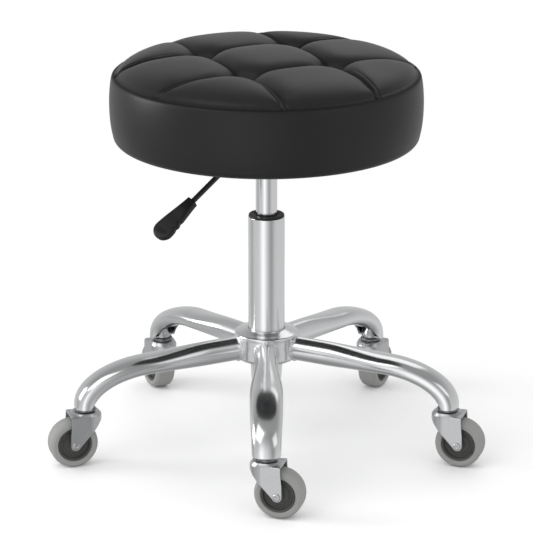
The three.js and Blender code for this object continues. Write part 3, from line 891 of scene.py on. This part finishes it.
def lever_point(run):
    """Point of the lever's centre line, in its vertical plane, a run past the start of its bend."""
    turn = np.clip(run / BEND_RADIUS, 0, LEVER_SLOPE)
    past = np.maximum(run - BEND_RADIUS * LEVER_SLOPE, 0)
    x = LEVER_BEND + BEND_RADIUS * np.sin(turn) + past * math.cos(LEVER_SLOPE) + np.minimum(run, 0)
    z = LEVER_Z - BEND_RADIUS * (1 - np.cos(turn)) - past * math.sin(LEVER_SLOPE)
    return x, z


class STOOL_OT_lever(Operator):
    """Build the height lever: its bent rod and its paddle grip"""

    bl_idname = "stool.lever"
    bl_label = "Height lever"

    def execute(self, context):
        settings = context.scene.stool_lever
        metal = context.scene.stool_metal
        bend = BEND_RADIUS * LEVER_SLOPE
        run = np.concatenate([np.linspace(-0.033, 0, 8)[:-1], np.linspace(0, bend, 14),
                              np.linspace(bend, bend + GRIP_START + 0.02, 20)[1:]])
        x, z = lever_point(run)
        path = LEVER.at(x, 0 * x, z)
        rod = piece_from("bent_rod", [(tube_along(path, ROD_RADIUS, 28), False, True)])
        fitted(rod, "lever", "black_steel", powder_coat(metal.coating), "lever_rod")
        grip = self.grip(settings, bend)
        plastic = moulded("grip_plastic", settings.grip, 0.0007, 0.38)
        fitted(grip, "lever", "grip_plastic", plastic, "lever_grip")
        refinish(zinc(metal.zinc), "lever_bracket", "lever_pin")
        return {"FINISHED"}

    def grip(self, settings, bend):
        """Paddle: superellipses along the rod's line, twisted about it, that widen to a round end. The neck
        has a squared shoulder, the upper face a broad dish, and one edge two finger notches."""
        t = np.concatenate([[0, 0.003, 0.008, 0.016], np.linspace(0.024, 0.86, 64),
                            1 - 0.14 * np.cos(np.linspace(0, np.pi / 2, 16))[1:]])[:, None]
        wide = settings.grip_width / 2
        half_width = mix(0.0065, wide, smooth(t, -0.1, 0.85))
        tip = np.sqrt(np.clip(1 - ((t - 0.79) / 0.21).clip(0, 1) ** 2, 0, 1))
        shoulder = smooth(t, -0.02, 0.012) ** 0.5 * (t > 0)
        half_depth = settings.grip_depth / 2 * mix(1.0, 0.9, smooth(t, 0.3, 0.9)) * shoulder * tip ** 0.5
        angle = np.linspace(0, 2 * np.pi, 72, endpoint=False)[None, :]
        cosine, sine = np.cos(angle), np.sin(angle)
        power = 2 / 4.2
        across = half_width * shoulder * tip * np.sign(cosine) * abs(cosine) ** power
        over = half_depth * np.sign(sine) * abs(sine) ** power
        on_edge = smooth(across, 0.55 * half_width, 0.95 * half_width)
        notches = bump_at(t, 0.5, 0.035) + bump_at(t, 0.64, 0.035)
        dish = 0.0014 * smooth(t, 0.2, 0.5) * (1 - smooth(t, 0.78, 0.95)) * (1 - (across / wide) ** 2)
        across = across - 0.0013 * notches * on_edge
        over = over - dish * smooth(sine, 0.2, 0.8)
        twist = settings.grip_twist
        side = across * math.cos(twist) + over * math.sin(twist)
        rise = over * math.cos(twist) - across * math.sin(twist)
        x, z = lever_point(bend + GRIP_START + GRIP_LENGTH * t)
        x = x + rise * math.sin(LEVER_SLOPE)
        z = z + rise * math.cos(LEVER_SLOPE)
        return piece_from("paddle_grip", [(LEVER.at(x, side, z), False, True)], sharp=50)


# ---- gas spring and column ------------------------------------------------------------------------
class STOOL_OT_column(Operator):
    """Build the gas spring, the column tube and what is inside them"""

    bl_idname = "stool.column"
    bl_label = "Column"

    def execute(self, context):
        metal = context.scene.stool_metal
        plate = chrome(metal.chrome)
        satin = zinc(metal.zinc)
        self.cylinder(plate)
        self.tube(plate)
        self.bush()
        refinish(plate, "piston_rod")
        refinish(satin, "piston", "release_pin", "rod_clip", "thrust_bearing")
        refinish(rubber("bumper_rubber", (0.02, 0.02, 0.02)), "bumper")
        return {"FINISHED"}

    def cylinder(self, finish):
        low, high = span("gas_cylinder")
        radius = radius_of("gas_cylinder")
        corners = [(0.0053, low), (radius, low), (radius, high - 0.02), (radius - 0.0008, high),
                   (0.0033, high), (0.0033, high - 0.026), (radius - 0.002, high - 0.026),
                   (radius - 0.002, low + 0.01), (0.0053, low + 0.01)]
        piece = turned_piece("spring_cylinder", corners, 0.0008, AXIS, steps=96)
        fitted(piece, "seat", "chrome", finish, "gas_cylinder")

    def tube(self, finish):
        """Straight tube with a rolled top edge, tapered through the hub, with a recessed floor."""
        low, high = span("column_tube")
        wide = radius_of("column_tube")
        foot, wall, shoulder = 0.020, 0.0016, top_of("base_hub") + 0.003
        corners = [(foot - wall, low), (foot, low), (wide, shoulder), (wide, high), (wide - wall, high),
                   (wide - wall, shoulder), (foot - wall + 0.0003, 0.098), (0.0053, 0.098),
                   (0.0053, 0.0952), (foot - wall, 0.0952)]
        piece = turned_piece("outer_column", corners, 0.0007, AXIS, steps=128)
        fitted(piece, "base", "chrome", finish, "column_tube")

    def bush(self):
        low, high = span("guide_bush")
        bore = radius_of("gas_cylinder") + 0.00015
        wide = radius_of("column_tube")
        top = top_of("column_tube") + 0.0003
        corners = [(bore, low), (wide - 0.0019, low), (wide - 0.0019, top), (wide - 0.0004, top),
                   (wide - 0.0009, high), (bore + 0.004, high), (bore + 0.0028, high - 0.0012),
                   (bore, high - 0.0014)]
        piece = turned_piece("guide_sleeve", corners, 0.0007, AXIS, steps=96)
        plastic = moulded("bush_plastic", (0.012, 0.012, 0.013), 0.0006, 0.35)
        fitted(piece, "base", "bush_plastic", plastic, "guide_bush")


# ---- five-arm base --------------------------------------------------------------------------------
HUB_RADIUS = radius_of("base_hub")
ARM_START = np.array([HUB_RADIUS, 0.1368])
ARM_BEND = np.array([0.165, 0.1284])
ARM_TUBE = 0.016
FOOT_WIDE = 0.0185
FOOT_LONG = 0.014
FOOT_SQUARE = 2.35


def arm_line(t):
    """Centre line of an arm in its vertical plane, for t from 0 to 1: straight from the hub for the first
    half, then a cubic curve that ends straight down over the caster; and its direction."""
    t = t[:, None]
    reach = np.array([PIVOT_REACH, 0.0])
    knots = [ARM_BEND, ARM_BEND + (0.045, -0.0031), reach + (0, 0.105), reach + (0, 0.080)]
    s = np.clip(2 * t - 1, 0, 1)
    curve = (knots[0] * (1 - s) ** 3 + knots[1] * 3 * s * (1 - s) ** 2 + knots[2] * 3 * s * s * (1 - s)
             + knots[3] * s ** 3)
    line = ARM_START + (ARM_BEND - ARM_START) * np.minimum(2 * t, 1)
    points = np.where(t < 0.5, line, curve)
    along = np.gradient(points, axis=0)
    return points, along / np.linalg.norm(along, axis=1, keepdims=True)


MOUTH_START = np.array([0.216, 0.1125])
MOUTH_KEPT = unit(np.array([0.0725, 0.0624]))


def arm_surface(place, metal, foot_z):
    """Skin of an arm: superellipses square to the centre line. They start round at the hub, widen and flatten
    to the bend, and end as a rounded oblong; the first follows the hub's wall. Each ring's seam is at its
    inner side, where it opens as far as the slanted plane of the arm's mouth cuts it."""
    t = np.linspace(0, 1, 120)
    points, along = arm_line(t)
    foot = np.array([[PIVOT_REACH, foot_z]])
    points = np.concatenate([points, mix(points[-1:], foot, 0.5), foot])
    along = np.concatenate([along, [[0, -1], [0, -1]]])
    t = np.concatenate([t, [1, 1]])[:, None]
    flat = smooth(t, 0.15, 0.5)
    end = smooth(t, 0.6, 1.0)
    wide = mix(mix(ARM_TUBE, metal.arm_width / 2, flat), FOOT_WIDE, end)
    high = mix(mix(ARM_TUBE, metal.arm_height / 2, flat), FOOT_LONG, end)
    power = 2 / mix(2.0, FOOT_SQUARE, flat)
    outward = np.stack([-along[:, 1], along[:, 0]], axis=1)
    reach = -((points - MOUTH_START) @ MOUTH_KEPT) / (outward @ MOUTH_KEPT)
    in_mouth = smooth((points - high * outward)[:, :1], MOUTH_START[0] - 0.004, MOUTH_START[0] + 0.016)
    cut = mix(-1, np.clip(reach[:, None] / high, -1, 0.6), in_mouth)
    lowest = np.arcsin(np.sign(cut) * abs(cut) ** (1 / power))
    angle = mix(lowest, np.pi - lowest, np.linspace(0, 1, 73)[None, :])
    cosine, sine = np.cos(angle), np.sin(angle)
    across = wide * np.sign(cosine) * abs(cosine) ** power
    over = high * np.sign(sine) * abs(sine) ** power
    x = points[:, :1] + over * outward[:, :1]
    z = points[:, 1:] + over * outward[:, 1:]
    wall = np.sqrt(HUB_RADIUS ** 2 - across ** 2) - 0.0012
    x[:1] = wall[:1]
    return place.at(x, across, z)


class STOOL_OT_base(Operator):
    """Build the hub, the five bent arms and their welds"""

    bl_idname = "stool.base"
    bl_label = "Star base"

    def execute(self, context):
        metal = context.scene.stool_metal
        plate = chrome(metal.chrome)
        self.hub(plate)
        for number in CASTERS:
            self.arm(number, metal, plate)
            self.weld(number, metal, plate)
        return {"FINISHED"}

    def hub(self, finish):
        """Cast collar: shallow cone on top, a rolled edge, a slightly waisted wall."""
        low, high = span("base_hub")
        edge = HUB_RADIUS
        corners = [(0.0222, low), (edge - 0.004, low), (edge - 0.0012, low + 0.004), (edge - 0.0018, 0.138),
                   (edge - 0.0008, 0.1525), (edge, 0.1545), (edge - 0.0006, 0.1572), (0.034, 0.1592),
                   (0.0262, high), (0.0242, high), (0.0236, 0.158)]
        piece = turned_piece("hub_collar", corners, 0.0015, AXIS, steps=128)
        fitted(piece, "base", "chrome", finish, "base_hub")

    def arm(self, number, metal, finish):
        skin = arm_surface(spoke(number), metal, bottom_of(f"arm_{number}"))
        piece = piece_from(f"bent_arm_{number}", [(skin, False, False)], sharp=50)
        walled(piece, metal.arm_wall, 0.0004)
        fitted(piece, "base", "chrome", finish, f"arm_{number}")

    def weld(self, number, metal, finish):
        """Bead where the arm meets the hub: a small tube, rippled along its length, whose line lies where
        the arm's round skin crosses the hub's round wall."""
        turn = np.linspace(0, 2 * np.pi, 144, endpoint=False)[:, None]
        across = ARM_TUBE * np.cos(turn)
        line_x = np.sqrt((HUB_RADIUS - 0.0012) ** 2 - across ** 2)
        line_z = ARM_START[1] + ARM_TUBE * np.sin(turn)
        bead = metal.weld * (1 + 0.12 * np.sin(26 * turn))
        around = np.linspace(0, 2 * np.pi, 14, endpoint=False)[None, :]
        forward = bead * np.cos(around)
        outward = bead * np.sin(around)
        points = spoke(number).at(line_x + forward, across + outward * np.cos(turn),
                                  line_z + outward * np.sin(turn))
        fitted(piece_from(f"arm_weld_{number}", [(points, True, True)]), "base", "chrome", finish)


# ---- casters --------------------------------------------------------------------------------------
FORK_HALF = 0.0186
FORK_BACK = 0.022
AXLE_Z = WHEEL_RADIUS


def fork_plan(count):
    """Half outline of the fork from above, from the open back round the pivot: points, the direction to the
    middle, and the point of the middle line that each looks at."""
    straight = np.linspace(FORK_BACK, -0.0024, count)[:, None]
    angle = np.linspace(np.pi / 2, np.pi, count)[1:, None]
    radius = FORK_HALF
    x = np.concatenate([straight, -0.0024 + radius * np.cos(angle)])
    y = np.concatenate([straight * 0 + radius, radius * np.sin(angle)])
    spine = np.concatenate([straight, angle * 0 - 0.0024])
    return x, y, spine


def wheel_centre(place):
    return place.origin + place.forward * TRAIL + UP * AXLE_Z


def leg_bottom(x):
    """Lower edge of the fork at a distance along the trail: straight down from the skirt at the pivot to the
    round end about the axle."""
    slope = mix(0.0625, 0.0288, np.clip((x + 0.0195) / 0.0315, 0, 1))
    below = np.sqrt(np.clip(0.0063 ** 2 - (x - TRAIL) ** 2, 0, None))
    return np.where(x < 0.012, slope, AXLE_Z - below)


def fork_surface(place, settings, side):
    """One half of the fork's outer skin: up the wall from its lower edge, round the bend, and in over the
    top plate to the middle line. The plate rises to the flat, grooved race round the pivot."""
    x, y, spine = fork_plan(34)
    bend = settings.fork_bend
    lean = 0.0019 * smooth(x, -0.0024, FORK_BACK)
    low = leg_bottom(x + lean)
    rise = 1 - (1 - np.linspace(0, 1, 26)[None, :]) ** 1.3
    wall_z = mix(low, FORK_TOP - bend, rise)
    wall_x = x + lean * smooth(FORK_TOP - wall_z, 0.004, 0.03)
    wall_y = y + 0 * wall_z
    turn = np.linspace(0, np.pi / 2, 8)[None, 1:]
    inward = np.concatenate([bend * (1 - np.cos(turn)) + 0 * x,
                             mix(bend, FORK_HALF, np.linspace(0, 1, 28)[None, 1:]) + 0 * x], axis=1)
    top_z = np.concatenate([FORK_TOP - bend + bend * np.sin(turn), np.full((1, 27), FORK_TOP)], axis=1)
    share = inward / FORK_HALF
    top_x = mix(x, spine, share)
    top_y = mix(y, 0.0, share)
    ring = np.hypot(top_x, top_y)
    race = RACE_RISE * (1 - smooth(ring, 0.0158, 0.0205))
    groove = 0.0007 * bump_at(ring, 0.0143, 0.0009)
    top_z = top_z + (race - groove) * smooth(inward, -0.001, bend)
    points_x = np.concatenate([wall_x, top_x], axis=1)
    points_y = np.concatenate([wall_y, top_y], axis=1)
    points_z = np.concatenate([wall_z, top_z], axis=1)
    return place.at(points_x, side * points_y, points_z)


class STOOL_OT_casters(Operator):
    """Build the five casters: sockets, stems, forks, axles, cores and tyres"""

    bl_idname = "stool.casters"
    bl_label = "Casters"

    def execute(self, context):
        settings = context.scene.stool_casters
        metal = context.scene.stool_metal
        satin = zinc(metal.zinc)
        seal = zinc(shade(metal.zinc, 0.4)[:3])
        core = moulded("core_plastic", settings.core, 0.0006, 0.42)
        tread = rubber("tyre_rubber", settings.tyre)
        for number in CASTERS:
            place = caster_place(number)
            self.socket(number, satin, metal)
            self.stem(number, place, seal)
            self.fork(number, place, settings, satin)
            self.axle(number, place, satin)
            self.core(number, place, core)
            self.tyre(number, place, tread)
        return {"FINISHED"}

    def socket(self, number, finish, metal):
        """Plug of the arm's end: a tapered tube, on a plate whose edge follows the arm's inner wall and is
        cut straight along the mouth."""
        node = f"caster_socket_{number}"
        low, high = span(node)
        place = spoke(number)
        centre = place.at(PIVOT_REACH, 0.0, 0.0)
        profile = rounded([(0.0058, low), (0.0108, low), (0.0104, low + 0.004), (0.0072, high),
                           (0.0058, high)], 0.0012, True)
        tube = turned(profile, centre, steps=48)
        angle = np.linspace(0, 2 * np.pi, 64, endpoint=False)[:, None]
        inset = metal.arm_wall + 0.0007
        oblong = (abs(np.cos(angle) / (FOOT_LONG - inset)) ** FOOT_SQUARE
                  + abs(np.sin(angle) / (FOOT_WIDE - inset)) ** FOOT_SQUARE) ** (-1 / FOOT_SQUARE)
        chord = np.where(np.cos(angle) < 0, 0.0033 / np.maximum(-np.cos(angle), 0.05), 1.0)
        edge = np.maximum(np.minimum(oblong, chord), 0.0105)
        radius = np.concatenate([edge * 0 + 0.0102, edge, edge, edge * 0 + 0.0102], axis=1)
        height = low + 0.0024 * np.array([[0, 0, 1, 1]])
        plate = place.at(PIVOT_REACH + radius * np.cos(angle), radius * np.sin(angle), height)
        piece = piece_from(f"stem_socket_{number}", [(tube, True, True), (plate, True, True)])
        fitted(piece, "base", "zinc_steel", finish, node)

    def stem(self, number, place, finish):
        """Stem with its rivet head under the fork and a dark seal above it."""
        seat = bottom_of(f"arm_{number}") - 0.0003
        top = top_of(f"caster_stem_{number}")
        low = bottom_of(f"caster_stem_{number}")
        sheet = RACE_TOP - 0.0026
        corners = [(0, low), (0.0075, low), (0.0075, sheet), (0.0055, sheet), (0.0055, RACE_TOP + 0.0003),
                   (0.0138, RACE_TOP + 0.0003), (0.0138, seat - 0.0012), (0.0128, seat), (0.0055, seat),
                   (0.0055, top), (0, top)]
        piece = turned_piece(f"stem_seal_{number}", corners, 0.0006, place.origin, closed=False, steps=64)
        fitted(piece, "base", "black_steel", finish, f"caster_stem_{number}")

    def fork(self, number, place, settings, finish):
        halves = [(fork_surface(place, settings, side), False, False) for side in (1, -1)]
        piece = piece_from(f"fork_shell_{number}", halves, sharp=70)
        walled(piece, settings.fork_sheet, 0.00035)
        fitted(piece, f"fork_{number}", "zinc_steel", finish, f"caster_fork_{number}")

    def axle(self, number, place, finish):
        """Pin with a domed, dimpled rivet head outside each leg."""
        face, head = FORK_HALF + 0.0002, 0.0015
        half = [(0, face + head * 0.55), (0.0012, face + head * 0.6), (0.0022, face + head),
                (0.0038, face + head * 0.9), (0.0049, face + head * 0.25), (0.005, face), (0.003, face)]
        piece = turned_piece(f"rivet_axle_{number}", both_sides(half), 0.0004, wheel_centre(place),
                             place.across, 48, False)
        fitted(piece, f"fork_{number}", "zinc_steel", finish, f"caster_axle_{number}")

    def core(self, number, place, finish):
        """Moulded wheel centre: hub boss, recessed web with two raised rings, and a rim under the tyre."""
        half = [(0.0033, 0.0155), (0.0078, 0.0155), (0.0086, 0.0088), (0.0128, 0.0082), (0.0132, 0.0092),
                (0.0146, 0.0092), (0.015, 0.008), (0.0188, 0.0076), (0.0198, 0.0118), (0.0219, 0.0125)]
        piece = turned_piece(f"wheel_centre_{number}", both_sides(half), 0.0006, wheel_centre(place),
                             place.across, 80)
        fitted(piece, f"wheel_{number}", "wheel_plastic", finish, f"wheel_core_{number}")

    def tyre(self, number, place, finish):
        """Soft tread with chamfered shoulders, a lip over the rim and a fine parting line."""
        half = [(0.0224, 0.0), (0.0224, 0.0126), (0.0236, 0.0138), (0.0279, 0.0139), (0.0309, 0.0106),
                (WHEEL_RADIUS, 0.0088), (WHEEL_RADIUS, 0.0)]
        piece = turned_piece(f"soft_tyre_{number}", both_sides(half), 0.0008, wheel_centre(place),
                             place.across, 128)
        fitted(piece, f"wheel_{number}", "tyre", finish, f"wheel_tyre_{number}")


# ---- stage ----------------------------------------------------------------------------------------
# Levels that polished metal sees from straight down (0), past the horizon (0.5), to straight up (1).
STUDIO_HEIGHT = ((0.0, 0.3), (0.3, 1.0), (0.5, 0.9), (0.65, 0.8), (0.9, 0.4))


class STOOL_OT_stage(Operator):
    """Set the pale floor, the studio light and the camera"""

    bl_idname = "stool.stage"
    bl_label = "Studio"

    def execute(self, context):
        stage = context.scene.stool_stage
        self.floor(stage)
        self.surroundings(context.scene, stage)
        self.lamp("key_light", (-1.6, -1.4, 2.6), 2.2, stage.key_power)
        self.lamp("fill_light", (2.2, -1.8, 1.9), 1.8, stage.key_power * 0.3)
        self.lamp("rim_light", (0.6, 2.2, 2.4), 1.6, stage.key_power * 0.3)
        self.lamp("side_light", (-2.6, 0.2, 0.9), 1.0, stage.key_power * 1.3)
        self.camera(context.scene, stage)
        return {"FINISHED"}

    def floor(self, stage):
        """Level floor just under the tyres, clear toward its edge, where it runs out into the backdrop."""
        side = np.linspace(-1.6, 1.6, 5)
        x, y = np.meshgrid(side, side, indexing="ij")
        floor = piece_from("studio_floor", [(np.stack([x, y, 0 * x - 0.0002], -1), False, False)])
        finish = Finish("studio_floor", Specular_IOR_Level=0.1)
        tone = finish.noise(0.8, 2, 0.5)
        finish.colour(finish.blend(shade(stage.floor, 0.985), shade(stage.floor), tone))
        finish.roughness(0.5 + 0.1 * tone)
        reach = finish.node("ShaderNodeVectorMath", {"operation": "LENGTH"}, {0: finish.place}).value("Value")
        finish.feed(finish.shader.inputs["Alpha"], finish.ramp(reach, (0.3, 1.0), (0.98, 0.0)))
        floor.data.materials.append(finish.material)
        floor.visible_glossy = False

    def surroundings(self, scene, stage):
        """Studio round the stool: plain white to the eye, even light on the floor and the leather, and for
        polished metal a bright soft box and dark flags, over a floor that darkens under the stool."""
        world = bpy.data.worlds.new("studio")
        world.use_nodes = True
        scene.world = world
        world.node_tree.nodes.clear()
        studio = Graph(world.node_tree)
        way = studio.node("ShaderNodeTexCoord").value("Generated")
        parts = studio.node("ShaderNodeSeparateXYZ", {}, {0: way})
        x, y, z = parts.value("X"), parts.value("Y"), parts.value("Z")
        turn = x.sum_of("ARCTAN2", x, 0 - y)
        soft_box = self.glow(turn, stage.box_turn, 0.3)
        front_flag = self.glow(turn, stage.flag_turn, 0.3)
        back_flag = self.glow(turn, stage.back_flag_turn, 0.3)
        around = 0.5 + 0.5 * soft_box - 0.25 * front_flag - 0.2 * back_flag
        height = studio.ramp(z * 0.5 + 0.5, *STUDIO_HEIGHT)
        level = 1 - z * z
        mirrored = (around * level + (1 - level) * 0.6) * height * stage.mirror_light
        rays = studio.node("ShaderNodeLightPath")
        light = studio.blend((stage.even_light,) * 3 + (1,), mirrored, rays.value("Is Glossy Ray"))
        light = studio.blend(light, (1, 1, 1, 1), rays.value("Is Camera Ray"))
        glow = studio.node("ShaderNodeBackground", {}, {"Color": light})
        studio.node("ShaderNodeOutputWorld", {}, {0: glow.value(0)})

    def glow(self, turn, centre, width):
        """Bell curve of the turn round the stool, from the camera's side, about a centre, in radians."""
        gap = (turn - centre) * (1 / width)
        return gap.sum_of("EXPONENT", gap * gap * -1)

    def lamp(self, name, place, size, power):
        """Square soft box that looks at the middle of the stool."""
        light = bpy.data.lights.new(name, "AREA")
        light.size = size
        light.energy = power
        lamp = bpy.data.objects.new(name, light)
        bpy.context.scene.collection.objects.link(lamp)
        target = np.array([0, 0, 0.3])
        aim = np.array(place) - target
        lamp.location = place
        level = math.hypot(aim[0], aim[1])
        lamp.rotation_euler = (math.atan2(level, aim[2]), 0, math.atan2(aim[0], -aim[1]))

    def camera(self, scene, stage):
        lens = bpy.data.cameras.new("camera")
        lens.lens = stage.lens / MM
        lens.sensor_width = 36
        lens.clip_end = 100
        camera = bpy.data.objects.new("camera", lens)
        camera.location = (AXIS[0], AXIS[1] - stage.distance, stage.height)
        camera.rotation_euler = (math.pi / 2 - stage.pitch, 0, 0)
        scene.collection.objects.link(camera)
        scene.camera = camera
        scene.view_settings.view_transform = "Standard"


# ---- add-on ---------------------------------------------------------------------------------------
OPERATORS = (STOOL_OT_cushion, STOOL_OT_underside, STOOL_OT_lever, STOOL_OT_column, STOOL_OT_base,
             STOOL_OT_casters, STOOL_OT_stage)
GROUPS = {"stool_cushion": StoolCushion, "stool_metal": StoolMetal, "stool_casters": StoolCasters,
          "stool_lever": StoolLever, "stool_stage": StoolStage}


class STOOL_PT_panel(Panel):
    """Sidebar panel that lists the stool's sizes, colours and builders"""

    bl_label = "Swivel stool"
    bl_space_type = "VIEW_3D"
    bl_region_type = "UI"
    bl_category = "Stool"

    def draw(self, context):
        for name, group in GROUPS.items():
            box = self.layout.box()
            for prop in group.__annotations__:
                box.prop(getattr(context.scene, name), prop)
        for operator in OPERATORS:
            self.layout.operator(operator.bl_idname)


def register():
    for cls in (*GROUPS.values(), *OPERATORS, STOOL_PT_panel):
        bpy.utils.register_class(cls)
    for name, group in GROUPS.items():
        setattr(bpy.types.Scene, name, PointerProperty(type=group))


def unregister():
    for name in GROUPS:
        delattr(bpy.types.Scene, name)
    for cls in (STOOL_PT_panel, *reversed(OPERATORS), *reversed(list(GROUPS.values()))):
        bpy.utils.unregister_class(cls)


def main():
    register()
    bpy.ops.stool.stage()
    bpy.ops.stool.cushion()
    bpy.ops.stool.underside()
    bpy.ops.stool.lever()
    bpy.ops.stool.column()
    bpy.ops.stool.base()
    bpy.ops.stool.casters()


if __name__ == "__main__":
    main()
